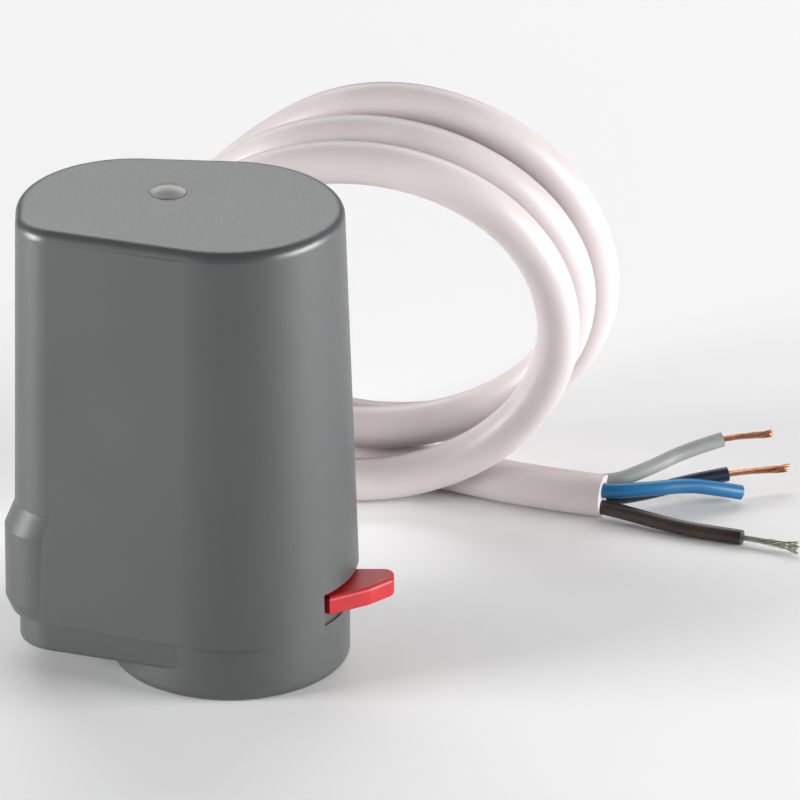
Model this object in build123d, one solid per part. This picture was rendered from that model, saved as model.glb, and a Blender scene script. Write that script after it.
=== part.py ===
from build123d import *
import math
import os

# Motorised actuator head for a heating zone valve.
# Origin: centre of the coupling collar's lower face.  +Z up along the valve axis, +X towards the
# manual lever's side, -Y the front.  Millimetres.

# ---- housing -------------------------------------------------------------------------------
# The outline is the hull of three round lobes (x, y, radius), anticlockwise from the main one.
PARTING_LOBES = ((0.0, 0.0, 21.4), (-15.3, 2.2, 20.2), (-27.5, -3.2, 8.0))
TOP_LOBES = ((-0.2, 0.0, 19.4), (-15.5, 1.6, 19.1), (-26.8, -3.0, 7.8))
RIM_Z = 4.7                 # underside of the base, beside the collar
PARTING_Z = 10.3            # lower edge of the cover
TOP_Z = 80.5
WALL = 2.0
# The base stands a little inside the cover's lower edge, most of all round the collar.
BASE_LOBES = ((0.0, 0.0, 19.6), (-15.3, 2.2, 18.8), (-27.5, -3.2, 7.15))
LIP_Z = 13.6                # top of the base's lip inside the cover
LIP_GAP = 0.15
FLOOR_TOP = 8.5             # top of the base's floor
TOP_ROUND = 1.8
COLLAR_R = 19.7
COLLAR_WALL = 3.2
COLLAR_BORE_R = 15.0
COLLAR_BORE_DEPTH = 6.5
# The raised pad at the left of the cover: (height, how far its end is moved out).
PAD_SECTIONS = ((PARTING_Z, 0.6), (12.4, 1.6), (25.0, 1.6), (29.6, -0.2))
PAD_DRIFT = 0.34
PAD_INSET = 0.12
PAD_ROOT = (-12.0, 1.0, 14.0)

# ---- lever and its slot --------------------------------------------------------------------
LEVER_SWING = 38.0
LEVER_LOW_Z = 12.9
LEVER_HIGH_Z = 16.2
# The lever's tab in plan, at rest.
LEVER_OUTLINE = (
    (7.6, -1.8), (7.0, -6.4), (16.4, -13.8), (23.1, -9.9), (27.0, -6.3), (27.0, -2.2),
)
SLOT_TOP_Z = 17.0
SLOT_FRONT_ANGLE = -43.0
SLOT_BACK_ANGLE = 36.0

# ---- mechanism -----------------------------------------------------------------------------
PLATE_Z = 46.0              # underside of the frame plate
PLATE_T = 1.2
TOWER_R = 6.5               # base tower that the cam wheel turns on
TOWER_BORE_R = 4.05
TOWER_TOP_Z = 32.0
PLUNGER_R = 4.0
PLUNGER_LOW_Z = 6.8
PLUNGER_SHOULDER_Z = 34.0
PLUNGER_STEM_R = 2.6
PLUNGER_TOP_Z = 41.0
PLUNGER_STROKE = 3.5
PIN_R = 1.2
PIN_Z = 21.8
PIN_REACH = 8.9
CAM_BORE_R = 6.56
CAM_R = 9.2
CAM_LOW_Z = 16.4
CAM_TOP_Z = 31.6
SEAL_Z = 13.5
SPRING_R = 3.5
SPRING_WIRE_R = 0.45
SPRING_TURNS = 5

# Gears: (teeth, module, low z, high z).  Each pinion drives the next wheel towards the cam.
CAM_GEAR = (36, 0.7, 27.0, 30.5)
PINION_A = (12, 0.7, 26.4, 33.4)
WHEEL_A = (30, 0.5, 33.4, 35.8)
PINION_B = (12, 0.5, 32.8, 38.4)
WHEEL_B = (36, 0.4, 38.4, 40.8)
MOTOR_PINION = (12, 0.4, 37.8, 43.4)
BACKLASH = 0.16             # taken off each tooth's thickness at the pitch circle
AXLE_R = 1.0
AXLE_FIT = 0.05
AXLE_A_DIRECTION = 187.0    # from the valve axis, in degrees
MOTOR_AXIS = (-8.5, 0.5)
MOTOR_R = 15.0
MOTOR_TOP_Z = 63.6
BOARD_Z = 68.0
PILLARS = ((6.3, 14.2), (6.3, -14.2), (-29.0, 5.5))
PILLAR_R = 1.9
ROTOR_R = 6.0
SHAFT_R = 1.0
CAN_WALL = 0.8
MOTOR_LOW_Z = PLATE_Z + PLATE_T
SWITCH_Z = 19.4
SWITCH_TRAVEL = 0.8
LOBE_R = 9.6
WIRE_XS = [-18.8 + 3.2 * index for index in range(4)]
WIRE_Y = 17.3
TOP_SCREW = (-9.7, 6.0)

# ---- cable ---------------------------------------------------------------------------------
CABLE_R = 3.6
CORE_R = 1.25
STRAND_R = 0.55
GLAND_X = -14.5
GLAND_Z = 22.0
GLAND_TIP_Y = 38.0
CLAMP_Y = 15.4
CLAMP_SCREW_XS = (-19.4, -9.6)

# Route points of the jacket: gland to coil, then coil to the stripped end.
LEAD_POINTS = (
    (-14.6, 13.4, 22.0),
    (-14.6, 23.2, 22.1),
    (-13.9, 33.4, 21.4),
    (-10.8, 43.2, 18.4),
    (-4.6, 50.6, 13.6),
    (3.2, 55.2, 8.8),
    (12.4, 57.6, 5.0),
    (21.8, 58.2, 3.6),
)
TAIL_POINTS = (
    (23.6, 68.2, 3.6),
    (31.0, 65.6, 3.6),
    (38.4, 61.6, 3.6),
    (46.2, 57.7, 3.6),
    (54.3, 54.5, 3.6),
    (62.2, 51.9, 3.6),
)
# Cores, from inside the jacket's cut end to the end of their insulation.
CORE_POINTS = {
    "core_grey": (
        (54.0, 56.0, 4.9), (62.4, 53.5, 4.9), (69.7, 56.6, 6.4), (76.2, 60.6, 8.0),
        (82.2, 62.2, 9.2),
    ),
    "core_black": (
        (54.0, 56.0, 2.3), (62.4, 53.3, 2.3), (69.7, 55.4, 2.6), (76.4, 58.4, 3.2),
        (83.0, 60.4, 3.6),
    ),
    "core_blue": (
        (53.2, 53.5, 4.9), (61.8, 50.7, 4.9), (69.9, 51.7, 5.0), (76.5, 54.4, 4.4),
        (80.9, 55.6, 3.2), (85.2, 57.2, 1.7),
    ),
    "core_brown": (
        (53.2, 53.5, 2.3), (61.8, 50.7, 2.3), (68.2, 47.7, 1.7), (74.9, 44.0, 1.4),
        (80.7, 42.0, 1.3), (85.1, 40.4, 1.3),
    ),
}
# Bare strands past the insulation of three of the cores.
BARE_TIPS = {
    "core_grey": (90.9, 63.4, 9.8),
    "core_black": (93.6, 62.9, 3.5),
    "core_brown": (94.9, 36.0, 0.9),
}
# The coil stands on its edge behind the housing.
COIL_FOOT = (21.8, 60.2, 4.15)
COIL_TURNED = -6.0          # its width points this far from +X
COIL_LEAN = 12.0
COIL_HALF_WIDTH = 34.2
COIL_HALF_HEIGHT = 31.4
COIL_DEPTH = 16.0           # centre of the front turn to centre of the back turn
COIL_BACK_GROW = 2.6
COIL_BACK_SHIFT = 3.8


def polar(radius, degrees, z=0.0):
    """A point on a circle about the valve axis."""
    angle = math.radians(degrees)
    return Vector(radius * math.cos(angle), radius * math.sin(angle), z)


def hull_face(lobes, z, grow=0.0):
    """Face bounded by the outer tangents and arcs of the lobes, which run anticlockwise."""
    normals = []
    for (ax, ay, ar), (bx, by, br) in zip(lobes, lobes[1:] + lobes[:1]):
        heading = math.atan2(by - ay, bx - ax)
        spread = math.acos((ar - br) / math.hypot(bx - ax, by - ay))
        normals.append(heading - spread)
    edges = []
    for index, (x, y, radius) in enumerate(lobes):
        start = normals[index - 1]
        end = normals[index]
        while end < start:
            end += 2 * math.pi
        arc = [
            Vector(x + (radius + grow) * math.cos(a), y + (radius + grow) * math.sin(a), z)
            for a in (start, (start + end) / 2, end)
        ]
        if edges:
            edges.append(Line(edges[-1] @ 1, arc[0]))
        edges.append(ThreePointArc(*arc))
    edges.append(Line(edges[-1] @ 1, edges[0] @ 0))
    return Face(Wire([part.edge() for part in edges]))


def lobes_at(z):
    """The housing's lobes at a height, drafted evenly from the parting line to the top."""
    share = (z - PARTING_Z) / (TOP_Z - PARTING_Z)
    return tuple(
        tuple(low + share * (high - low) for low, high in zip(lower, upper))
        for lower, upper in zip(PARTING_LOBES, TOP_LOBES)
    )


def housing_block(low_z, high_z, grow):
    """Drafted block of the housing's outline, grown by an offset."""
    return loft([hull_face(lobes_at(z), z, grow) for z in (low_z, high_z)], ruled=True)


def upright_block(low_z, high_z, grow, lobes=PARTING_LOBES):
    """Straight block of an outline, by default the one at the parting line."""
    return extrude(hull_face(lobes, low_z, grow), amount=high_z - low_z, dir=(0, 0, 1))


def rod(x, y, low_z, high_z, radius):
    """Upright cylinder."""
    return Pos(x, y, (low_z + high_z) / 2) * Cylinder(radius, high_z - low_z)


def tube(x, y, low_z, high_z, outer, inner):
    """Upright tube."""
    return rod(x, y, low_z, high_z, outer) - rod(x, y, low_z - 1, high_z + 1, inner)


def block(x_range, y_range, z_range):
    """Box between three pairs of limits."""
    middle = [sum(pair) / 2 for pair in (x_range, y_range, z_range)]
    lengths = [pair[1] - pair[0] for pair in (x_range, y_range, z_range)]
    return Pos(*middle) * Box(*lengths)


def sector(low_z, high_z, radius, start, end):
    """Wedge about the valve axis, between two angles less than 180 degrees apart."""
    reach = radius / math.cos(math.radians((end - start) / 4))
    corners = [(0, 0)]
    for share in (0, 0.5, 1):
        corner = polar(reach, start + share * (end - start))
        corners.append((corner.X, corner.Y))
    outline = Pos(0, 0, low_z) * make_face(Polyline(*corners, close=True))
    return extrude(outline, amount=high_z - low_z, dir=(0, 0, 1))


# ---- gears ---------------------------------------------------------------------------------
def involute_point(base_radius, radius, at_pitch):
    """Polar angle of a flank point, counted from the tooth's centre line."""
    pressure = math.acos(min(1.0, base_radius / radius))
    return at_pitch - (math.tan(pressure) - pressure)


def gear_blank(gear, x, y, phase):
    """Spur gear with involute flanks; one tooth is centred on the phase angle in degrees."""
    teeth, module, low_z, high_z = gear
    pitch = teeth * module / 2
    base = pitch * math.cos(math.radians(20))
    root = pitch - 1.25 * module
    tip = pitch + 0.92 * module
    flank_start = max(base, root + 0.05 * module)
    half_thickness = (math.pi * module / 2 - BACKLASH) / 2 / pitch
    pitch_pressure = math.radians(20)
    at_pitch = half_thickness + math.tan(pitch_pressure) - pitch_pressure
    radii = (flank_start, (flank_start + tip) / 2, tip)
    flank = [(radius, involute_point(base, radius, at_pitch)) for radius in radii]
    step = 2 * math.pi / teeth
    outline = []
    first = None
    last = None
    for tooth in range(teeth):
        centre = math.radians(phase) + tooth * step

        def at(radius, offset):
            return (x + radius * math.cos(centre + offset), y + radius * math.sin(centre + offset))

        foot = at(root, -flank[0][1])
        if last is not None:
            outline.append(Line(last, foot))
        else:
            first = foot
        outline.append(Line(foot, at(flank[0][0], -flank[0][1])))
        outline.append(ThreePointArc(*[at(radius, -angle) for radius, angle in flank]))
        outline.append(Line(at(tip, -flank[2][1]), at(tip, flank[2][1])))
        outline.append(ThreePointArc(*[at(radius, angle) for radius, angle in reversed(flank)]))
        last = at(root, flank[0][1])
        outline.append(Line(at(flank[0][0], flank[0][1]), last))
    outline.append(Line(last, first))
    face = Pos(0, 0, low_z) * Face(Wire([part.edge() for part in outline]))
    return extrude(face, amount=high_z - low_z, dir=(0, 0, 1))


def meshed_phase(driver_teeth, driver_phase, teeth, heading):
    """Phase of a gear whose gap meets the driver's tooth on the line of centres."""
    gap = -(driver_phase - heading) * driver_teeth / teeth
    return heading + 180 + gap + 180 / teeth


def centre_distance(wheel, pinion):
    return (wheel[0] + pinion[0]) * wheel[1] / 2


def heading(start, end):
    return math.degrees(math.atan2(end[1] - start[1], end[0] - start[0]))


# Axle A is set by the cam gear; axle B lies where both of its centre distances meet.
AXLE_A = tuple(polar(centre_distance(CAM_GEAR, PINION_A), AXLE_A_DIRECTION))[:2]
A_TO_MOTOR = math.dist(AXLE_A, MOTOR_AXIS)
A_TO_B = centre_distance(WHEEL_A, PINION_B)
B_TO_MOTOR = centre_distance(WHEEL_B, MOTOR_PINION)
ALONG = (A_TO_B ** 2 - B_TO_MOTOR ** 2 + A_TO_MOTOR ** 2) / (2 * A_TO_MOTOR)
ACROSS = math.sqrt(A_TO_B ** 2 - ALONG ** 2)
MOTOR_HEADING = math.radians(heading(AXLE_A, MOTOR_AXIS))
AXLE_B = (
    AXLE_A[0] + ALONG * math.cos(MOTOR_HEADING) - ACROSS * math.sin(MOTOR_HEADING),
    AXLE_A[1] + ALONG * math.sin(MOTOR_HEADING) + ACROSS * math.cos(MOTOR_HEADING),
)

CAM_PHASE = 0.0
PHASE_A = meshed_phase(CAM_GEAR[0], CAM_PHASE, PINION_A[0], AXLE_A_DIRECTION)
PHASE_B = meshed_phase(WHEEL_A[0], PHASE_A, PINION_B[0], heading(AXLE_A, AXLE_B))
PHASE_MOTOR = meshed_phase(WHEEL_B[0], PHASE_B, MOTOR_PINION[0], heading(AXLE_B, MOTOR_AXIS))



# ---- housing parts -------------------------------------------------------------------------
def cover():
    """Drafted shell with a rounded top, a raised pad, the lever slot and the cable hole."""
    shell = housing_block(PARTING_Z, TOP_Z, 0)
    top_edges = shell.edges().filter_by_position(Axis.Z, TOP_Z - 0.01, TOP_Z + 0.01)
    shell = fillet(top_edges, TOP_ROUND)
    shell += raised_pad()
    shell -= housing_block(PARTING_Z - 0.01, TOP_Z - WALL, -WALL)
    shell -= sector(PARTING_Z - 1, SLOT_TOP_Z, 40, SLOT_FRONT_ANGLE, SLOT_BACK_ANGLE)
    shell -= Pos(GLAND_X, 20, GLAND_Z) * Rot(90, 0, 0) * Cylinder(5.5, 20)
    shell -= rod(*TOP_SCREW, TOP_Z - 5, TOP_Z + 1, 1.6)
    shell -= rod(*TOP_SCREW, TOP_Z - 1.2, TOP_Z + 1, 3.1)
    return shell


def raised_pad():
    """Bulge at the cover's lower left, which flares out of the wall above and below."""
    end_x, end_y, end_r = PARTING_LOBES[2]
    sections = []
    for z, out in PAD_SECTIONS:
        # The bulge grows along the flat front wall, so only its end stands proud.
        moved = (end_x - out, end_y + PAD_DRIFT * out, end_r - PAD_INSET)
        sections.append(hull_face((PAD_ROOT, moved), z))
    return loft(sections, ruled=True)


def base():
    """Floor, rim, lip and collar with the bayonet grooves, and the tower for the cam wheel."""
    rim = upright_block(RIM_Z, PARTING_Z - 0.05, 0, BASE_LOBES)
    lower_edges = rim.edges().filter_by_position(Axis.Z, RIM_Z - 0.01, RIM_Z + 0.01)
    body = fillet(lower_edges, 1.0)
    body += upright_block(PARTING_Z - 0.1, LIP_Z, -WALL - LIP_GAP)
    body -= upright_block(FLOOR_TOP, LIP_Z + 1, -WALL - LIP_GAP - 1.4)
    # The lip stops short of the lever's sweep.
    body -= sector(LEVER_LOW_Z - 0.5, LIP_Z + 1, 40, SLOT_FRONT_ANGLE, SLOT_BACK_ANGLE)
    collar = tube(0, 0, 0, PARTING_Z - 0.05, COLLAR_R, COLLAR_R - COLLAR_WALL)
    collar += rod(0, 0, 0, FLOOR_TOP, COLLAR_R - 0.5)
    foot = collar.edges().filter_by_position(Axis.Z, -0.01, 0.01)
    body += fillet(foot, 1.6)
    body -= rod(0, 0, -1, COLLAR_BORE_DEPTH, COLLAR_BORE_R)
    for direction in (90, 210, 330):
        body -= Rot(0, 0, direction) * bayonet_groove()
    body += rod(0, 0, FLOOR_TOP - 0.5, TOWER_TOP_Z, TOWER_R)
    body -= rod(0, 0, 0, TOWER_TOP_Z + 1, TOWER_BORE_R)
    # Groove of the seal ring, inside the tower.
    body -= rod(0, 0, SEAL_Z - 0.56, SEAL_Z + 0.56, 5.1)
    # Two upright slots keep the cross pin from turning.
    pin_room = PIN_R + 0.08
    low = PIN_Z - pin_room - 0.3
    high = PIN_Z + PLUNGER_STROKE + pin_room + 0.3
    body -= block((-pin_room, pin_room), (-8, 8), (low, high))
    for x, y in PILLARS:
        body += rod(x, y, FLOOR_TOP - 0.5, 11.0, 3.0)
        body -= rod(x, y, 9.0, 12.0, 1.5)
    body += rod(*AXLE_A, FLOOR_TOP - 0.5, 24.0, 2.4)
    body += rod(*AXLE_B, FLOOR_TOP - 0.5, 30.5, 2.4)
    for x, y in (AXLE_A, AXLE_B):
        body -= rod(x, y, 10.0, 31.0, AXLE_R)
    # Ledge under the end switch and the two posts of the cable clamp.
    body += block((-8.6, 3.0), (-16.4, -11.0), (FLOOR_TOP - 0.5, 17.0))
    for x in CLAMP_SCREW_XS:
        body += rod(x, CLAMP_Y, FLOOR_TOP - 0.5, GLAND_Z - 2.0, 1.5)
        body -= rod(x, CLAMP_Y, 12.0, GLAND_Z, 0.75)
    return body


def bayonet_groove():
    """Entry slot and short run of one groove in the collar's wall, for a push and twist."""
    depth_r = COLLAR_BORE_R + 1.6
    entry = sector(-1, 4.6, depth_r, -6, 6)
    run = sector(2.0, 4.6, depth_r, -6, 22)
    ring = tube(0, 0, -1, 5, depth_r, COLLAR_BORE_R - 1)
    return (entry + run) & ring


def top_plug():
    """Domed plug over the cover screw."""
    stem = rod(*TOP_SCREW, TOP_Z - 0.9, TOP_Z + 0.2, 3.0)
    dome = Pos(-9.7, 6.0, TOP_Z - 4.6) * Sphere(5.67)
    return stem + (dome & rod(*TOP_SCREW, TOP_Z, TOP_Z + 3, 3.0))


def cover_screw():
    shank = rod(*TOP_SCREW, TOP_Z - 9.0, TOP_Z - 2.0, 1.4)
    head = rod(*TOP_SCREW, TOP_Z - 2.0 + 0.8, TOP_Z - 1.0, 2.6)
    neck = rod(*TOP_SCREW, TOP_Z - 2.1, TOP_Z - 1.1, 1.5)
    slot = block((-12.5, -6.9), (5.7, 6.3), (TOP_Z - 1.1, TOP_Z))
    return shank + neck + head - slot


def cover_post():
    """Threaded post on the motor that the cover is screwed to."""
    return tube(*TOP_SCREW, MOTOR_TOP_Z, TOP_Z - WALL - 0.05, 2.4, 1.4)


def seal_ring():
    return Pos(0, 0, SEAL_Z) * Torus(PLUNGER_R + 0.58, 0.52)


# ---- frame ---------------------------------------------------------------------------------
def frame_plate():
    plate = housing_block(PLATE_Z, PLATE_Z + PLATE_T, -WALL - 0.6)
    plate -= rod(*MOTOR_AXIS, PLATE_Z - 1, PLATE_Z + 3, 4.2)
    for x, y in (AXLE_A, AXLE_B):
        plate -= rod(x, y, PLATE_Z - 1, PLATE_Z + 3, AXLE_R)
    for x, y in PILLARS:
        plate -= rod(x, y, PLATE_Z - 1, PLATE_Z + 3, 1.3)
    # Notch for the wires that rise along the back wall.
    plate -= block((-20.5, -6.5), (16.2, 30), (PLATE_Z - 1, PLATE_Z + 3))
    return plate


def frame_pillars():
    pillars = []
    for x, y in PILLARS:
        pillar = rod(x, y, 11.0, PLATE_Z, PILLAR_R) + rod(x, y, 9.2, 11.2, 1.4)
        pillars.append(pillar - rod(x, y, PLATE_Z - 6, PLATE_Z + 1, 1.1))
    return Compound(pillars)


def plate_screws():
    screws = []
    for x, y in PILLARS:
        top = PLATE_Z + PLATE_T
        screw = rod(x, y, PLATE_Z - 5.5, top + 0.1, 1.05)
        screw += rod(x, y, top, top + 1.4, 2.2)
        screw -= block((x - 3, x + 3), (y - 0.3, y + 0.3), (top + 0.8, top + 2))
        screws.append(screw)
    return Compound(screws)


def gear_axles():
    return Compound([rod(x, y, 10.2, PLATE_Z + PLATE_T, AXLE_R) for x, y in (AXLE_A, AXLE_B)])


# ---- output --------------------------------------------------------------------------------
def cam_wheel():
    """Output gear on a sleeve whose two helical slots lift the cross pin as it turns."""
    wheel = rod(0, 0, CAM_LOW_Z, CAM_TOP_Z, CAM_R) + gear_blank(CAM_GEAR, 0, 0, CAM_PHASE)
    wheel += switch_lobe()
    wheel -= rod(0, 0, CAM_LOW_Z - 1, CAM_TOP_Z + 1, CAM_BORE_R)
    cutter = Cylinder(PIN_R + 0.3, 2 * CAM_R + 4, rotation=(90, 0, 0))
    steps = 14
    for step in range(steps + 1):
        share = step / steps
        lift = PIN_Z + share * PLUNGER_STROKE
        wheel -= Pos(0, 0, lift) * Rot(0, 0, -share * LEVER_SWING) * cutter
    return wheel


def switch_lobe():
    """Rising edge that presses the switch button evenly through the swing."""
    rise = SWITCH_TRAVEL / LEVER_SWING
    start = -90 - LEVER_SWING - 12
    count = 8
    span = LEVER_SWING + 24
    points = []
    for index in range(count + 1):
        angle = start + span * index / count
        # The part of the edge that is at -90 degrees after a turn t sits at -90 - t at rest.
        radius = LOBE_R + rise * (-90 - angle)
        corner = polar(radius, angle)
        points.append((corner.X, corner.Y))
    low = SWITCH_Z - 1.4
    outline = Pos(0, 0, low) * make_face([
        Spline(*points),
        Line(points[-1], (0, 0)),
        Line((0, 0), points[0]),
    ])
    return extrude(outline, amount=2.8, dir=(0, 0, 1))


def manual_lever():
    """Red tab on a ring under the cam wheel; the tab reaches out through the slot."""
    ring = rod(0, 0, LEVER_LOW_Z, LEVER_HIGH_Z + 0.2, CAM_R + 1.6)
    tab = extrude(
        Pos(0, 0, LEVER_LOW_Z) * make_face(Polyline(*LEVER_OUTLINE, close=True)),
        amount=LEVER_HIGH_Z - LEVER_LOW_Z, dir=(0, 0, 1),
    )
    corners = tab.edges().filter_by(Axis.Z).sort_by(Axis.X)
    tab = fillet(corners[-2:], 1.7)
    tab = fillet(tab.edges().filter_by(Axis.Z).filter_by_position(Axis.X, 22, 24), 4.0)
    rims = tab.edges().filter_by_position(Axis.Z, LEVER_HIGH_Z - 0.01, LEVER_HIGH_Z + 0.01)
    rims += tab.edges().filter_by_position(Axis.Z, LEVER_LOW_Z - 0.01, LEVER_LOW_Z + 0.01)
    tab = fillet(rims, 0.7)
    return ring + tab - rod(0, 0, LEVER_LOW_Z - 1, LEVER_HIGH_Z + 2, CAM_BORE_R)


def plunger():
    body = rod(0, 0, PLUNGER_LOW_Z, PLUNGER_SHOULDER_Z, PLUNGER_R)
    lower = body.edges().filter_by_position(Axis.Z, PLUNGER_LOW_Z - 0.01, PLUNGER_LOW_Z + 0.01)
    body = chamfer(lower, 0.6)
    body += rod(0, 0, PLUNGER_SHOULDER_Z - 0.5, PLUNGER_TOP_Z, PLUNGER_STEM_R)
    return body - Pos(0, 0, PIN_Z) * Rot(90, 0, 0) * Cylinder(PIN_R, 2 * PLUNGER_R + 2)


def cross_pin():
    return Pos(0, 0, PIN_Z) * Rot(90, 0, 0) * Cylinder(PIN_R, 2 * PIN_REACH)


def return_spring():
    low = PLUNGER_SHOULDER_Z + SPRING_WIRE_R + 0.02
    height = PLATE_Z - SPRING_WIRE_R - 0.02 - low
    helix = Helix(height / SPRING_TURNS, height, SPRING_R)
    path = Pos(0, 0, low) * helix
    section = Plane(origin=path @ 0, z_dir=path % 0) * Circle(SPRING_WIRE_R)
    return sweep(section, path=path, is_frenet=True)


def intermediate_gear(pinion, wheel, axle, phase):
    """Pinion and wheel in one moulding, turning on a fixed axle."""
    gear = gear_blank(pinion, *axle, phase) + gear_blank(wheel, *axle, phase)
    return gear - rod(*axle, pinion[2] - 1, pinion[3] + 4, AXLE_R + AXLE_FIT)


# ---- motor ---------------------------------------------------------------------------------


def motor_can():
    """Steel cup, open below."""
    can = rod(*MOTOR_AXIS, MOTOR_LOW_Z, MOTOR_TOP_Z, MOTOR_R)
    rim = can.edges().filter_by_position(Axis.Z, MOTOR_TOP_Z - 0.01, MOTOR_TOP_Z + 0.01)
    can = fillet(rim, 0.7)
    can -= rod(*MOTOR_AXIS, MOTOR_LOW_Z - 1, MOTOR_TOP_Z - CAN_WALL, MOTOR_R - CAN_WALL)
    can -= rod(*MOTOR_AXIS, MOTOR_TOP_Z - 2, MOTOR_TOP_Z + 1, 1.8)
    return can


def motor_end_plate():
    plate = rod(*MOTOR_AXIS, MOTOR_LOW_Z, MOTOR_LOW_Z + 1.0, MOTOR_R - CAN_WALL)
    return plate - rod(*MOTOR_AXIS, MOTOR_LOW_Z - 1, MOTOR_LOW_Z + 2, 1.8)


def motor_bobbin():
    low = MOTOR_LOW_Z + 1.4
    high = MOTOR_TOP_Z - CAN_WALL - 0.4
    bobbin = tube(*MOTOR_AXIS, low, high, 8.0, 7.0)
    for z in (low, high - 0.8):
        bobbin += tube(*MOTOR_AXIS, z, z + 0.8, 13.6, 7.0)
    return bobbin


def motor_winding():
    low = MOTOR_LOW_Z + 2.3
    high = MOTOR_TOP_Z - CAN_WALL - 1.3
    return tube(*MOTOR_AXIS, low, high, 12.8, 8.05)


def rotor_bushes():
    """Brass bearing bushes in the end plate and in the top of the can."""
    lower = tube(*MOTOR_AXIS, MOTOR_LOW_Z - 0.6, MOTOR_LOW_Z + 1.4, 1.8, SHAFT_R + AXLE_FIT)
    upper = tube(*MOTOR_AXIS, MOTOR_TOP_Z - 1.6, MOTOR_TOP_Z + 0.4, 1.8, SHAFT_R + AXLE_FIT)
    return Compound([lower, upper])


def rotor_magnet():
    return tube(*MOTOR_AXIS, MOTOR_LOW_Z + 2.4, MOTOR_TOP_Z - 2.6, ROTOR_R, SHAFT_R)


def rotor_shaft():
    return rod(*MOTOR_AXIS, MOTOR_PINION[2], MOTOR_TOP_Z + 0.2, SHAFT_R)


def motor_pinion():
    return gear_blank(MOTOR_PINION, *MOTOR_AXIS, PHASE_MOTOR) - rod(*MOTOR_AXIS, 30, 50, SHAFT_R)


# ---- electrics -----------------------------------------------------------------------------


def switch_body():
    case = block((-8.6, 3.0), (-16.4, -11.6), (17.0, 22.2))
    case -= block((-1.1, 1.1), (-13.0, -11.0), (SWITCH_Z - 0.95, SWITCH_Z + 0.95))
    for x in (-7.0, -3.4, 1.6):
        case += block((x - 0.4, x + 0.4), (-17.4, -16.4), (18.2, 21.0))
    return case


def switch_button():
    tip_y = -LOBE_R - 0.03
    button = block((-1.0, 1.0), (-12.2, tip_y - 0.9), (SWITCH_Z - 0.85, SWITCH_Z + 0.85))
    nose = Pos(0, tip_y - 1.0, SWITCH_Z) * Cylinder(1.0, 1.7)
    return button + nose


def circuit_board():
    board = block((-21.5, 4.5), (-11.5, 12.5), (BOARD_Z, BOARD_Z + 1.5))
    board = fillet(board.edges().filter_by(Axis.Z), 3.0)
    return board - rod(*TOP_SCREW, BOARD_Z - 1, BOARD_Z + 3, 2.9)


def board_spacers():
    places = ((-16.5, -6.5), (0.5, -6.0), (-1.5, 9.0))
    return Compound([rod(x, y, MOTOR_TOP_Z, BOARD_Z, 1.6) for x, y in places])


def terminal_block():
    """Four-way block with a screw hole and a wire mouth for each way."""
    body = block((-21.0, -5.0), (7.6, 12.2), (BOARD_Z + 1.5, BOARD_Z + 8.5))
    for index in range(4):
        x = WIRE_XS[index]
        body -= rod(x, 10.6, BOARD_Z + 6.5, BOARD_Z + 10, 1.1)
        body -= block((x - 0.9, x + 0.9), (11.2, 13.0), (BOARD_Z + 2.4, BOARD_Z + 4.4))
    return body - rod(*TOP_SCREW, BOARD_Z, BOARD_Z + 10, 2.7)


def run_capacitor():
    case = block((-16.0, 2.5), (-9.5, -2.5), (BOARD_Z + 1.5, BOARD_Z + 9.0))
    return fillet(case.edges().filter_by(Axis.Z), 0.8)


# ---- cable ---------------------------------------------------------------------------------


def routed_tube(name, points, radius):
    """Round tube along straight runs joined by tangent arcs."""
    corners = [Vector(*point) for point in points]
    radii = []
    for before, corner, after in zip(corners, corners[1:], corners[2:]):
        run_in = corner - before
        run_out = after - corner
        turn = math.radians(run_in.get_angle(run_out))
        shorter = min(run_in.length, run_out.length)
        radii.append(0.45 * shorter / math.tan(turn / 2))
    print(name, "bend radii", [round(r, 1) for r in radii])
    path = FilletPolyline(*corners, radius=radii)
    section = Plane(origin=path @ 0, z_dir=path % 0) * Circle(radius)
    solid = sweep(section, path=path)
    print(name, "length", round(path.length, 1), "volume ratio",
          round(solid.volume / (path.length * math.pi * radius ** 2), 4))
    return solid


def coil_frame(grow):
    """Plane of one turn: x across the coil, y up its lean, origin at the turn's centre."""
    across = Vector(1, 0, 0).rotate(Axis.Z, COIL_TURNED)
    up = Vector(0, -math.sin(math.radians(COIL_LEAN)), math.cos(math.radians(COIL_LEAN)))
    up = up.rotate(Axis.Z, COIL_TURNED)
    back = Vector(0, 1, 0).rotate(Axis.Z, COIL_TURNED)
    foot = Vector(*COIL_FOOT) + back * (grow * COIL_DEPTH) + Vector(grow * COIL_BACK_SHIFT, 0, 0)
    centre = foot + up * (COIL_HALF_HEIGHT + grow * COIL_BACK_GROW)
    return Plane(origin=centre, x_dir=across, z_dir=across.cross(up))


def cable_coil():
    """Closed outer shape of the turns: an oval ring that grows a little towards the back."""
    rings = []
    for side in (CABLE_R, -CABLE_R):
        faces = []
        for grow in (-CABLE_R / COIL_DEPTH, 1 + CABLE_R / COIL_DEPTH):
            wide = COIL_HALF_WIDTH + max(grow, 0) * COIL_BACK_GROW / 2
            tall = COIL_HALF_HEIGHT + max(grow, 0) * COIL_BACK_GROW
            faces.append(coil_frame(grow) * Ellipse(wide + side, tall + side))
        rings.append(loft(faces, ruled=True))
    return rings[0] - rings[1]


def cable_gland():
    """Flanged bush in the cover's back wall with a tapered tail round the cable."""
    profile = make_face(Polyline(
        (CABLE_R, 17.0), (5.4, 17.0), (5.4, 22.4), (7.6, 22.4), (7.6, 24.2), (6.2, 24.2),
        (4.5, GLAND_TIP_Y), (CABLE_R, GLAND_TIP_Y), close=True,
    ))
    bush = revolve(profile, Axis.Y)
    return Pos(GLAND_X, 0, GLAND_Z) * bush


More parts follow.
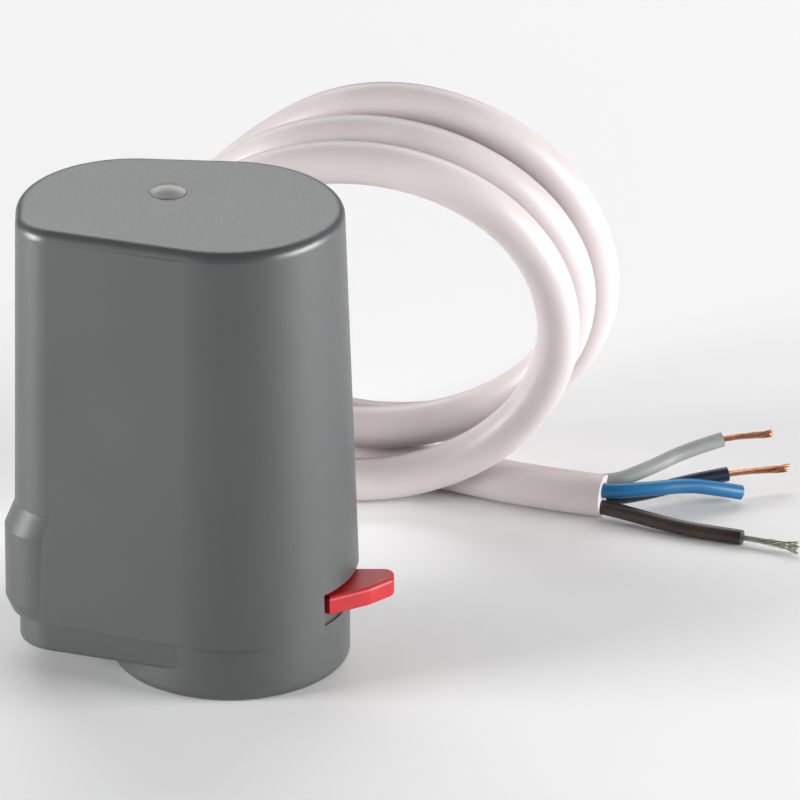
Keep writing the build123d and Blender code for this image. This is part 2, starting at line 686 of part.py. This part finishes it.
def cable_clamp():
    """Saddle over the jacket, screwed to two posts of the base."""
    low = GLAND_Z - 2.0
    high = GLAND_Z + 5.2
    left = CLAMP_SCREW_XS[0] - 1.5
    right = CLAMP_SCREW_XS[1] + 1.5
    clamp = block((left, right), (CLAMP_Y - 1.5, CLAMP_Y + 1.5), (low, high))
    clamp -= Pos(GLAND_X, CLAMP_Y, GLAND_Z) * Rot(90, 0, 0) * Cylinder(CABLE_R, 10)
    jacket_room = (GLAND_X - CABLE_R, GLAND_X + CABLE_R)
    clamp -= block(jacket_room, (CLAMP_Y - 3, CLAMP_Y + 3), (low - 1, GLAND_Z))
    for x in CLAMP_SCREW_XS:
        clamp -= rod(x, CLAMP_Y, low - 1, high + 1, 0.85)
    return clamp


def clamp_screws():
    screws = []
    top = GLAND_Z + 5.2
    for x in CLAMP_SCREW_XS:
        screws.append(rod(x, CLAMP_Y, 13.0, top + 0.1, 0.75) + rod(x, CLAMP_Y, top, top + 1.2, 1.5))
    return Compound(screws)


def inner_wires():
    """Four leads from the clamped cable up the back wall to the terminal block."""
    wires = []
    for index, x in enumerate(WIRE_XS):
        start_x = GLAND_X + (-2.1, -0.7, 0.7, 2.1)[index]
        path = Polyline(
            (start_x, 13.4, GLAND_Z), (start_x, 11.8, GLAND_Z + 0.6), (x, 12.4, 30.0),
            (x, WIRE_Y, 37.0), (x, WIRE_Y, BOARD_Z), (x, 14.2, BOARD_Z + 3.4),
            (x, 12.0, BOARD_Z + 3.4),
        )
        section = Plane(origin=path @ 0, z_dir=path % 0) * Circle(0.55)
        wires.append(sweep(section, path=path, transition=Transition.ROUND))
    return Compound(wires)


def bare_wire_ends():
    tips = []
    for name, tip in BARE_TIPS.items():
        start = Vector(*CORE_POINTS[name][-1])
        end = Vector(*tip)
        section = Plane(origin=start, z_dir=end - start) * Circle(STRAND_R)
        tips.append(extrude(section, amount=(end - start).length, dir=end - start))
    return Compound(tips)


def all_parts():
    parts = {
        "base": base(),
        "cover": cover(),
        "top_plug": top_plug(),
        "cover_screw": cover_screw(),
        "cover_post": cover_post(),
        "seal_ring": seal_ring(),
        "frame_plate": frame_plate(),
        "frame_pillars": frame_pillars(),
        "plate_screws": plate_screws(),
        "gear_axles": gear_axles(),
        "cam_wheel": cam_wheel(),
        "manual_lever": manual_lever(),
        "plunger": plunger(),
        "cross_pin": cross_pin(),
        "return_spring": return_spring(),
        "intermediate_gear_a": intermediate_gear(PINION_A, WHEEL_A, AXLE_A, PHASE_A),
        "intermediate_gear_b": intermediate_gear(PINION_B, WHEEL_B, AXLE_B, PHASE_B),
        "motor_can": motor_can(),
        "motor_end_plate": motor_end_plate(),
        "motor_bobbin": motor_bobbin(),
        "motor_winding": motor_winding(),
        "rotor_bushes": rotor_bushes(),
        "rotor_magnet": rotor_magnet(),
        "rotor_shaft": rotor_shaft(),
        "motor_pinion": motor_pinion(),
        "switch_body": switch_body(),
        "switch_button": switch_button(),
        "circuit_board": circuit_board(),
        "board_spacers": board_spacers(),
        "terminal_block": terminal_block(),
        "run_capacitor": run_capacitor(),
        "cable_gland": cable_gland(),
        "cable_clamp": cable_clamp(),
        "clamp_screws": clamp_screws(),
        "inner_wires": inner_wires(),
        "cable_lead": routed_tube("cable_lead", LEAD_POINTS, CABLE_R),
        "cable_coil": cable_coil(),
        "cable_tail": routed_tube("cable_tail", TAIL_POINTS, CABLE_R),
        "bare_wire_ends": bare_wire_ends(),
    }
    for name, points in CORE_POINTS.items():
        parts[name] = routed_tube(name, points, CORE_R)
    return parts


os.makedirs("parts", exist_ok=True)
for node, shape in all_parts().items():
    export_step(shape, f"parts/{node}.step")
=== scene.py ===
"""Looks for the motorised actuator head.

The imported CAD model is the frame.  This script adds the camera, the cable and its cores as
smooth cords, the cable boot and the bare strands, and gives every CAD piece a procedural
material.  Metres in the CAD frame: +Z up along the valve axis, -Y the front.
"""
import math

import bmesh
import bpy
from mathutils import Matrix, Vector


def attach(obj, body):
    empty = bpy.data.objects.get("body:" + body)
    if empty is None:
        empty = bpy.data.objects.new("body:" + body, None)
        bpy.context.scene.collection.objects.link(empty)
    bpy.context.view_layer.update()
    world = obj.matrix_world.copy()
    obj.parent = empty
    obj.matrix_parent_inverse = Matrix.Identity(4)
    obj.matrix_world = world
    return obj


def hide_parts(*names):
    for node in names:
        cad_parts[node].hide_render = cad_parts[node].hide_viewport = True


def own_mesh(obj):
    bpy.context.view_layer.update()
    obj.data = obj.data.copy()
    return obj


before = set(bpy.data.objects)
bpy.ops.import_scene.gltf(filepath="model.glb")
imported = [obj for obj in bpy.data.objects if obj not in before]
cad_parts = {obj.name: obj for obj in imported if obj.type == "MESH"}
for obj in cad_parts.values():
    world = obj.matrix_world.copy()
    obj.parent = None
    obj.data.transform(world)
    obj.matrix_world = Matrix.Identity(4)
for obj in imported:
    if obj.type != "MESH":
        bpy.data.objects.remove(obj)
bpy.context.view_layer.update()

MM = 0.001

# ---- camera ---------------------------------------------------------------------------------
VIEW_TARGET = (28.05, 17.4, 37.5)       # mm
VIEW_ELEVATION = 24.9                   # degrees above the horizon
VIEW_ROLL = -0.22
VIEW_DISTANCE = 3000.0
VIEW_WIDTH = 132.0                      # what the picture spans at the target
SENSOR = 36.0

# ---- cable ----------------------------------------------------------------------------------
CABLE_R = 3.6
CORE_R = 1.25
LEAD_POINTS = (
    (-14.6, 13.4, 22.0),
    (-14.6, 23.2, 22.1),
    (-13.9, 33.4, 21.4),
    (-10.8, 43.2, 18.4),
    (-4.6, 50.6, 13.6),
    (3.2, 55.2, 8.8),
    (12.4, 57.6, 5.0),
)
TAIL_POINTS = (
    (31.0, 65.6, 3.6),
    (38.4, 61.6, 3.6),
    (46.2, 57.7, 3.6),
    (54.3, 54.5, 3.6),
    (62.2, 51.9, 3.6),
)
# Cores, from inside the jacket's cut end to the end of their insulation.
CORE_POINTS = {
    "core_grey": (
        (54.0, 56.0, 4.9), (62.4, 53.5, 4.9), (69.7, 56.6, 6.4), (76.2, 60.6, 8.0),
        (82.2, 62.2, 9.2),
    ),
    "core_black": (
        (54.0, 56.0, 2.3), (62.4, 53.3, 2.3), (69.7, 55.4, 2.6), (76.4, 58.4, 3.2),
        (83.0, 60.4, 3.6),
    ),
    "core_blue": (
        (53.2, 53.5, 4.9), (61.8, 50.7, 4.9), (69.9, 51.7, 5.0), (76.5, 54.4, 4.4),
        (80.9, 55.6, 3.2), (85.2, 57.2, 1.7),
    ),
    "core_brown": (
        (53.2, 53.5, 2.3), (61.8, 50.7, 2.3), (68.2, 47.7, 1.7), (74.9, 44.0, 1.4),
        (80.7, 42.0, 1.3), (85.1, 40.4, 1.3),
    ),
}
# Bare strands past the insulation: tip, strands, how far they splay at the tip (mm), finish.
BARE_ENDS = {
    "core_grey": ((90.7, 63.2, 9.8), 9, 0.25, "bare_copper"),
    "core_black": ((93.4, 62.9, 3.5), 9, 0.35, "bare_copper"),
    "core_brown": ((94.6, 36.2, 1.2), 7, 0.75, "bare_tinned"),
}
STRAND_R = 0.16
STRAND_TWISTS = 1.6
STRAND_RING_R = 0.34                    # where the outer strands lie round the middle one
STRAND_STEPS = 22
STRAND_SIDES = 7
LOOSE_FROM = 0.35                       # share of the length that stays tightly twisted
# The coil stands on its edge behind the housing.
COIL_FOOT = Vector((21.4, 61.8, 3.6))
COIL_TURNED = math.radians(-6.0)
COIL_LEAN = math.radians(12.0)
COIL_STEPS = 20                         # route points in a turn
# How the turns lie, in mm: (turns made, depth, shift along X, lift, half width, half height)
COIL_KEYS = (
    (0.00, -3.6, 0.4, 0.0, 34.4, 31.4),
    (0.25, -0.5, 0.0, 1.3, 34.4, 31.2),
    (0.50, 3.0, 0.4, 0.0, 34.2, 31.6),
    (0.75, 4.4, 0.0, 1.2, 33.5, 31.4),
    (1.00, 3.4, 0.6, 6.4, 33.6, 30.2),
    (1.25, 8.0, 2.4, 2.6, 33.9, 31.0),
    (1.50, 10.4, 2.4, 0.0, 33.4, 32.4),
    (1.75, 10.6, 3.6, 2.4, 33.0, 32.5),
    (2.00, 14.6, 2.8, 2.0, 33.0, 32.4),
    (2.25, 15.6, 6.4, -0.8, 33.2, 33.9),
    (2.50, 17.8, 5.8, 0.0, 32.4, 34.0),
    (2.62, 18.8, 5.6, -0.6, 31.8, 33.9),
    (2.75, 18.2, 2.6, -2.4, 38.6, 34.3),
    (2.88, 12.8, 0.8, -3.2, 41.5, 34.3),
    (3.00, 6.6, 0.6, 0.3, 38.0, 34.3),
)

# ---- cable boot: (distance along the cable from its first point, radius), mm -------------------
BOOT_FLANGE = (
    (3.6, 5.3), (9.0, 5.4), (9.05, 7.0), (9.3, 7.5), (10.5, 7.5), (10.9, 7.1), (11.1, 6.2),
)
BOOT_RIBS = 5
BOOT_END = 27.0
BOOT_SIDES = 40
BOOT_LIP = 2.4                          # plain length past the last rib
RIB_GAP = 0.6                           # from the flange to the first rib
RIB_FIRST_R = 6.1                       # the ribs' crests shrink evenly along the boot
RIB_SHRINK = 1.6
RIB_DEPTH = 0.95

# ---- return spring, between the plunger's shoulder and the frame plate, mm ---------------------
SPRING_LOW = 34.05
SPRING_HIGH = 45.95
SPRING_COIL_R = 3.5
SPRING_WIRE_R = 0.4
SPRING_TURNS = 6.0
SPRING_STEPS = 20                       # rings of the wire in a turn
SPRING_FLAT = 0.75                      # turns at each end that lie flat
SPRING_SIDES = 10


def metres(point):
    return Vector(point) * MM


def make_camera():
    data = bpy.data.cameras.new("camera")
    data.sensor_width = SENSOR
    data.lens = SENSOR * VIEW_DISTANCE / VIEW_WIDTH
    camera = bpy.data.objects.new("camera", data)
    bpy.context.scene.collection.objects.link(camera)
    rise = math.radians(VIEW_ELEVATION)
    away = Vector((0, -math.cos(rise), math.sin(rise)))
    camera.location = metres(VIEW_TARGET) + away * VIEW_DISTANCE * MM
    turn = away.to_track_quat("Z", "Y").to_matrix().to_4x4()
    camera.rotation_euler = turn.to_euler()
    camera.rotation_euler.rotate_axis("Z", math.radians(VIEW_ROLL))
    bpy.context.scene.camera = camera


make_camera()


# ---- materials ------------------------------------------------------------------------------
def linear(rgb):
    """Shader colour for an 8-bit screen colour."""
    parts = []
    for value in rgb:
        share = value / 255
        parts.append(share / 12.92 if share < 0.04045 else ((share + 0.055) / 1.055) ** 2.4)
    return (*parts, 1.0)


def add(tree, kind, **values):
    node = tree.nodes.new(kind)
    for key, value in values.items():
        setattr(node, key, value)
    return node


def finish_material(name, colour, shade, roughness, rough_span=0.05, mottle=60.0, grain=2500.0,
                    grain_depth=0.00001, stretch=(1, 1, 1), metallic=0.0, subsurface=0.0,
                    coat=0.0, ior=1.5):
    """Two shades mixed by a soft mottle, roughness that wanders, and a fine grain in relief.

    colour and shade are the lighter and the darker of the two 8-bit colours.
    mottle and grain are cycles per metre, grain_depth is metres.
    """
    material = bpy.data.materials.new(name)
    material.use_nodes = True
    tree = material.node_tree
    shader = tree.nodes["Principled BSDF"]
    shader.inputs["Metallic"].default_value = metallic
    shader.inputs["IOR"].default_value = ior
    shader.inputs["Coat Weight"].default_value = coat
    shader.inputs["Coat Roughness"].default_value = 0.2
    if subsurface:
        shader.inputs["Subsurface Weight"].default_value = subsurface
        shader.inputs["Subsurface Radius"].default_value = (1.0, 0.85, 0.8)
        shader.inputs["Subsurface Scale"].default_value = 0.0012
    place = add(tree, "ShaderNodeTexCoord")
    mapping = add(tree, "ShaderNodeMapping")
    mapping.inputs["Scale"].default_value = stretch
    tree.links.new(place.outputs["Object"], mapping.inputs["Vector"])
    soft = add(tree, "ShaderNodeTexNoise")
    soft.inputs["Scale"].default_value = mottle
    soft.inputs["Detail"].default_value = 3.0
    fine = add(tree, "ShaderNodeTexNoise")
    fine.inputs["Scale"].default_value = grain
    fine.inputs["Detail"].default_value = 2.0
    for texture in (soft, fine):
        tree.links.new(mapping.outputs["Vector"], texture.inputs["Vector"])
    ramp = add(tree, "ShaderNodeValToRGB")
    ramp.color_ramp.elements[0].position = 0.3
    ramp.color_ramp.elements[0].color = linear(shade)
    ramp.color_ramp.elements[1].position = 0.7
    ramp.color_ramp.elements[1].color = linear(colour)
    tree.links.new(soft.outputs["Fac"], ramp.inputs["Fac"])
    tree.links.new(ramp.outputs["Color"], shader.inputs["Base Color"])
    spread = add(tree, "ShaderNodeMapRange")
    spread.inputs["From Min"].default_value = 0.3
    spread.inputs["From Max"].default_value = 0.7
    spread.inputs["To Min"].default_value = roughness - rough_span
    spread.inputs["To Max"].default_value = roughness + rough_span
    tree.links.new(fine.outputs["Fac"], spread.inputs["Value"])
    tree.links.new(spread.outputs["Result"], shader.inputs["Roughness"])
    bump = add(tree, "ShaderNodeBump")
    bump.inputs["Strength"].default_value = 1.0
    bump.inputs["Distance"].default_value = grain_depth
    tree.links.new(fine.outputs["Fac"], bump.inputs["Height"])
    tree.links.new(bump.outputs["Normal"], shader.inputs["Normal"])
    return material


def make_materials():
    """One finish for each material slot of the record."""
    finishes = {
        "housing_grey": dict(colour=(70, 73, 73), shade=(66, 69, 69), roughness=0.40,
                             rough_span=0.04, mottle=40.0, grain=1800.0, grain_depth=0.000012,
                             ior=1.7),
        # plug_grey: the housing's grey plastic, painted much lighter than the housing to give the
        # painted highlight seen on the top nub
        "plug_grey": dict(colour=(150, 150, 148), shade=(140, 140, 139), roughness=0.3),
        "lever_red": dict(colour=(196, 32, 38), shade=(164, 22, 34), roughness=0.42,
                          mottle=150.0, subsurface=0.25),
        "white_nylon": dict(colour=(226, 224, 214), shade=(214, 211, 199), roughness=0.45,
                            subsurface=0.2),
        "black_plastic": dict(colour=(34, 34, 36), shade=(26, 26, 28), roughness=0.5,
                              grain_depth=0.00002),
        "black_rubber": dict(colour=(30, 30, 31), shade=(22, 22, 23), roughness=0.7,
                             grain_depth=0.00003),
        "zinc_steel": dict(colour=(186, 188, 184), shade=(160, 164, 166), roughness=0.35,
                           mottle=220.0, metallic=1.0),
        "ground_steel": dict(colour=(196, 198, 200), shade=(180, 182, 186), roughness=0.22,
                             stretch=(1, 1, 8), metallic=1.0),
        "spring_steel": dict(colour=(150, 150, 152), shade=(122, 122, 126), roughness=0.3,
                             metallic=1.0),
        "brass": dict(colour=(214, 178, 98), shade=(186, 150, 76), roughness=0.3, metallic=1.0),
        "winding_copper": dict(colour=(176, 92, 50), shade=(140, 66, 34), roughness=0.3,
                               stretch=(1, 1, 12), metallic=0.8, coat=0.5),
        "ferrite": dict(colour=(58, 56, 56), shade=(42, 41, 42), roughness=0.55,
                        grain_depth=0.00003),
        "board_green": dict(colour=(34, 96, 58), shade=(24, 74, 44), roughness=0.35, coat=0.4),
        "terminal_blue": dict(colour=(52, 96, 150), shade=(42, 82, 132), roughness=0.4),
        "capacitor_yellow": dict(colour=(222, 184, 58), shade=(204, 164, 44), roughness=0.35),
        "jacket_white": dict(colour=(212, 202, 202), shade=(200, 190, 191), roughness=0.42,
                             mottle=55.0, grain=1400.0, grain_depth=0.000015, subsurface=0.12),
        "core_grey": dict(colour=(160, 164, 162), shade=(142, 146, 144), roughness=0.38,
                          mottle=120.0),
        "core_black": dict(colour=(26, 38, 58), shade=(20, 28, 44), roughness=0.36, mottle=120.0),
        "core_blue": dict(colour=(34, 112, 160), shade=(26, 94, 140), roughness=0.36,
                          mottle=120.0),
        "core_brown": dict(colour=(74, 62, 54), shade=(50, 43, 39), roughness=0.36, mottle=120.0),
        "bare_copper": dict(colour=(214, 160, 128), shade=(180, 122, 96), roughness=0.34,
                            mottle=600.0, metallic=1.0),
        "bare_tinned": dict(colour=(196, 198, 178), shade=(160, 164, 146), roughness=0.36,
                            mottle=600.0, metallic=1.0),
    }
    return {name: finish_material(name, **values) for name, values in finishes.items()}


MATERIALS = make_materials()


def wear(piece, slot):
    """Gives a piece one finish all over, and names the record's slot."""
    piece.data.materials.clear()
    piece.data.materials.append(MATERIALS[slot])


# ---- cords ----------------------------------------------------------------------------------
def route_curve(name, points, radius, slot):
    """A cord on one smooth open NURBS spline through its route points, given in millimetres."""
    data = bpy.data.curves.new(name, "CURVE")
    data.dimensions = "3D"
    spline = data.splines.new("NURBS")
    spline.points.add(len(points) - 1)
    for place, point in zip(spline.points, points):
        place.co = (*metres(point), 1.0)
    spline.order_u = 3
    spline.use_endpoint_u = True
    spline.resolution_u = 10
    data.bevel_depth = radius * MM
    data.bevel_resolution = 7
    data.use_fill_caps = True
    piece = bpy.data.objects.new(name, data)
    bpy.context.scene.collection.objects.link(piece)
    wear(piece, slot)
    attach(piece, "housing")
    return piece


def centreline(piece):
    """Points along a cord's own line, read from the curve without its thickness."""
    line = piece.data.copy()
    line.bevel_depth = 0.0
    line.use_fill_caps = False
    carrier = bpy.data.objects.new("line", line)
    mesh = bpy.data.meshes.new_from_object(carrier)
    points = [vertex.co.copy() for vertex in mesh.vertices]
    bpy.data.objects.remove(carrier)
    bpy.data.meshes.remove(mesh)
    bpy.data.curves.remove(line)
    return points


def line_length(points):
    return sum((b - a).length for a, b in zip(points, points[1:]))


def eased(keys, turns):
    """Values between two keys of a table, with a smooth slope through every key."""
    index = 0
    while index < len(keys) - 2 and turns > keys[index + 1][0]:
        index += 1
    before, after = keys[index], keys[index + 1]
    behind = keys[max(index - 1, 0)]
    ahead = keys[min(index + 2, len(keys) - 1)]
    span = after[0] - before[0]
    share = (turns - before[0]) / span
    values = []
    for column in range(1, len(before)):
        start, end = before[column], after[column]
        slope_in = (end - behind[column]) / (after[0] - behind[0]) * span
        slope_out = (ahead[column] - start) / (ahead[0] - before[0]) * span
        values.append(
            start * (2 * share ** 3 - 3 * share ** 2 + 1)
            + slope_in * (share ** 3 - 2 * share ** 2 + share)
            + end * (3 * share ** 2 - 2 * share ** 3)
            + slope_out * (share ** 3 - share ** 2)
        )
    return values


def coil_points():
    """Route points of the turns, from the foot of the front turn to the foot of the last."""
    across = Vector((math.cos(COIL_TURNED), math.sin(COIL_TURNED), 0))
    away = Vector((-math.sin(COIL_TURNED), math.cos(COIL_TURNED), 0))
    up = Vector((0, 0, 1)) * math.cos(COIL_LEAN) - away * math.sin(COIL_LEAN)
    points = []
    last = COIL_KEYS[-1][0]
    for step in range(int(last * COIL_STEPS) + 1):
        turns = step / COIL_STEPS
        depth, shift, lift, wide, tall = eased(COIL_KEYS, turns)
        angle = 2 * math.pi * (turns - 0.25)
        point = COIL_FOOT + away * depth + Vector((shift, 0, lift))
        point += across * wide * math.cos(angle) + up * tall * (1 + math.sin(angle))
        points.append(point)
    return points


def ring_frame(along):
    """Two directions square to a cable's own direction."""
    across = along.cross(Vector((0, 0, 1))).normalized()
    return across, across.cross(along).normalized()


def tube_of_rings(shape, rings, sides):
    """Adds a closed skin over rings given as (centre, direction, radius)."""
    loops = []
    for centre, along, radius in rings:
        across, up = ring_frame(along)
        loop = []
        for side in range(sides):
            angle = 2 * math.pi * side / sides
            place = centre + (across * math.cos(angle) + up * math.sin(angle)) * radius
            loop.append(shape.verts.new(place))
        loops.append(loop)
    for lower, upper in zip(loops, loops[1:]):
        for side in range(sides):
            after = (side + 1) % sides
            shape.faces.new((lower[side], lower[after], upper[after], upper[side]))
    shape.faces.new(list(reversed(loops[0])))
    shape.faces.new(loops[-1])


def piece_from(shape, name, slot, finish=None):
    """Turns a finished bmesh into a smooth object that rides the housing."""
    bmesh.ops.recalc_face_normals(shape, faces=shape.faces)
    data = bpy.data.meshes.new(name)
    shape.to_mesh(data)
    shape.free()
    for face in data.polygons:
        face.use_smooth = len(face.vertices) == 4
    piece = bpy.data.objects.new(name, data)
    bpy.context.scene.collection.objects.link(piece)
    wear(piece, slot)
    if finish:
        data.materials[0] = MATERIALS[finish]
    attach(piece, "housing")
    return piece


def point_along(points, distance):
    """Place and direction at a distance, in metres, along a line of points."""
    gone = 0.0
    for before, after in zip(points, points[1:]):
        step = (after - before).length
        if gone + step >= distance:
            return before.lerp(after, (distance - gone) / step), (after - before).normalized()
        gone += step
    return points[-1], (points[-1] - points[-2]).normalized()


def boot_profile():
    """Flange, then a taper of ribs, down to a thin lip round the cable."""
    profile = list(BOOT_FLANGE)
    start = BOOT_FLANGE[-1][0] + RIB_GAP
    pitch = (BOOT_END - BOOT_LIP - start) / BOOT_RIBS
    for rib in range(BOOT_RIBS):
        base = start + rib * pitch
        crest = RIB_FIRST_R - RIB_SHRINK * rib / (BOOT_RIBS - 1)
        valley = crest - RIB_DEPTH
        profile += [(base, valley), (base + 0.2 * pitch, crest - 0.12)]
        profile += [(base + 0.3 * pitch, crest), (base + 0.62 * pitch, crest - 0.05)]
        profile += [(base + 0.72 * pitch, crest - 0.2), (base + 0.9 * pitch, valley - 0.1)]
    profile += [(BOOT_END - 2.2, 4.3), (BOOT_END - 0.5, 4.15), (BOOT_END, 3.75)]
    return profile


def cable_boot(line):
    """Ribbed strain relief that bends with the cable."""
    shape = bmesh.new()
    rings = []
    for distance, radius in boot_profile():
        centre, along = point_along(line, distance * MM)
        rings.append((centre, along, radius * MM))
    tube_of_rings(shape, rings, BOOT_SIDES)
    return piece_from(shape, "cable_boot", "black_rubber")


def spring_wire():
    """Spring with closed ends, drawn at one fixed length; the real spring is pressed together as
    the plunger rises.
    """
    low = SPRING_LOW + SPRING_WIRE_R
    high = SPRING_HIGH - SPRING_WIRE_R
    places = []
    count = int(SPRING_TURNS * SPRING_STEPS)
    for step in range(count + 1):
        turns = step / SPRING_STEPS
        # The turns between the flat ends climb evenly.
        climb = SPRING_TURNS - 2 * SPRING_FLAT
        share = min(max((turns - SPRING_FLAT) / climb, 0.0), 1.0)
        height = low + (high - low) * share
        angle = 2 * math.pi * turns
        x = SPRING_COIL_R * math.cos(angle)
        y = SPRING_COIL_R * math.sin(angle)
        places.append(metres((x, y, height)))
    rings = []
    for index, place in enumerate(places):
        ahead = places[min(index + 1, count)] - places[max(index - 1, 0)]
        rings.append((place, ahead.normalized(), SPRING_WIRE_R * MM))
    shape = bmesh.new()
    tube_of_rings(shape, rings, SPRING_SIDES)
    piece = piece_from(shape, "return_spring_wire", "spring_steel")
    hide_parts("return_spring")
    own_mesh(piece)
    return piece


def bare_end(core_name, core_line):
    """Twisted strands past one core's insulation, a little loose at the tip."""
    tip, count, splay, finish = BARE_ENDS[core_name]
    start = core_line[-1]
    along = (metres(tip) - start).normalized()
    leaving = (core_line[-1] - core_line[-2]).normalized()
    reach = (metres(tip) - start).length
    shape = bmesh.new()
    across, up = ring_frame(along)
    for strand in range(count):
        ring = 0.0 if strand == 0 else STRAND_RING_R
        phase = 2 * math.pi * strand / max(count - 1, 1)
        length = reach * (1.0 - 0.05 * ((strand * 5) % 4) / 3)
        places = []
        for step in range(STRAND_STEPS + 1):
            share = step / STRAND_STEPS
            loose = max(0.0, share - LOOSE_FROM) / (1 - LOOSE_FROM)
            radius = (ring + splay * loose ** 1.6 * (0.4 + 0.6 * ((strand * 3) % 5) / 4)) * MM
            angle = phase + 2 * math.pi * STRAND_TWISTS * share * (1.0 - 0.25 * loose)
            bend = (leaving - along) * length * share * (1 - share) ** 2
            centre = start - leaving * 0.8 * MM * (1 - share) + along * length * share + bend
            centre += (across * math.cos(angle) + up * math.sin(angle)) * radius
            places.append(centre)
        rings = []
        for index, place in enumerate(places):
            ahead = places[min(index + 1, STRAND_STEPS)] - places[max(index - 1, 0)]
            rings.append((place, ahead.normalized(), STRAND_R * MM))
        tube_of_rings(shape, rings, STRAND_SIDES)
    return piece_from(shape, core_name + "_strands", "bare_copper", finish)


JACKET_ROUTE = (*LEAD_POINTS, *coil_points(), *TAIL_POINTS)
jacket = route_curve("cable_jacket", JACKET_ROUTE, CABLE_R, "jacket_white")
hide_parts("cable_lead", "cable_coil", "cable_tail")
jacket_line = centreline(jacket)

boot = cable_boot(jacket_line)
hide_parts("cable_gland")
spring_wire()

cores = {}
for core_name, core_route in CORE_POINTS.items():
    core = route_curve(core_name + "_wire", core_route, CORE_R, core_name)
    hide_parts(core_name)
    cores[core_name] = core
    if core_name in BARE_ENDS:
        bare_end(core_name, centreline(core))
        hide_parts("bare_wire_ends")


# ---- the rest of the cad pieces ---------------------------------------------------------------
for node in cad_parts.values():
    if not node.hide_render:
        wear(node, node.data.materials[0].name)


# ---- stage ------------------------------------------------------------------------------------
def make_floor():
    data = bpy.data.meshes.new("floor")
    half = 4.0
    data.from_pydata([(-half, -half, 0), (half, -half, 0), (half, half, 0), (-half, half, 0)],
                     [], [(0, 1, 2, 3)])
    floor = bpy.data.objects.new("floor", data)
    bpy.context.scene.collection.objects.link(floor)
    material = finish_material("floor", (250, 250, 250), (246, 246, 246), 0.8, mottle=2.0,
                               grain=300.0)
    data.materials.append(material)


def softbox(name, place, aim, width, height, power, tint=(1, 1, 1)):
    data = bpy.data.lights.new(name, "AREA")
    data.shape = "RECTANGLE"
    data.size = width
    data.size_y = height
    data.energy = power
    data.color = tint
    lamp = bpy.data.objects.new(name, data)
    bpy.context.scene.collection.objects.link(lamp)
    lamp.location = place
    lamp.rotation_euler = (Vector(aim) - Vector(place)).to_track_quat("-Z", "Y").to_euler()


def make_light():
    world = bpy.data.worlds.new("world")
    bpy.context.scene.world = world
    world.use_nodes = True
    background = world.node_tree.nodes["Background"]
    background.inputs["Color"].default_value = (1.0, 1.0, 1.0, 1.0)
    background.inputs["Strength"].default_value = 0.09
    middle = (0.0, 0.0, 0.04)
    softbox("left", (-0.88, -0.22, 0.18), middle, 0.4, 0.4, 12.5)
    softbox("right", (0.88, -0.18, 0.20), middle, 0.6, 0.4, 13.0)
    softbox("top", (0.0, 0.85, 0.66), middle, 1.1, 0.6, 6.2)
    bpy.context.scene.view_settings.view_transform = "Standard"


make_floor()
make_light()

# ---- the cords' lengths, computed and left unused ---------------------------------------------
for core_name, core in cores.items():
    line_length(centreline(core))
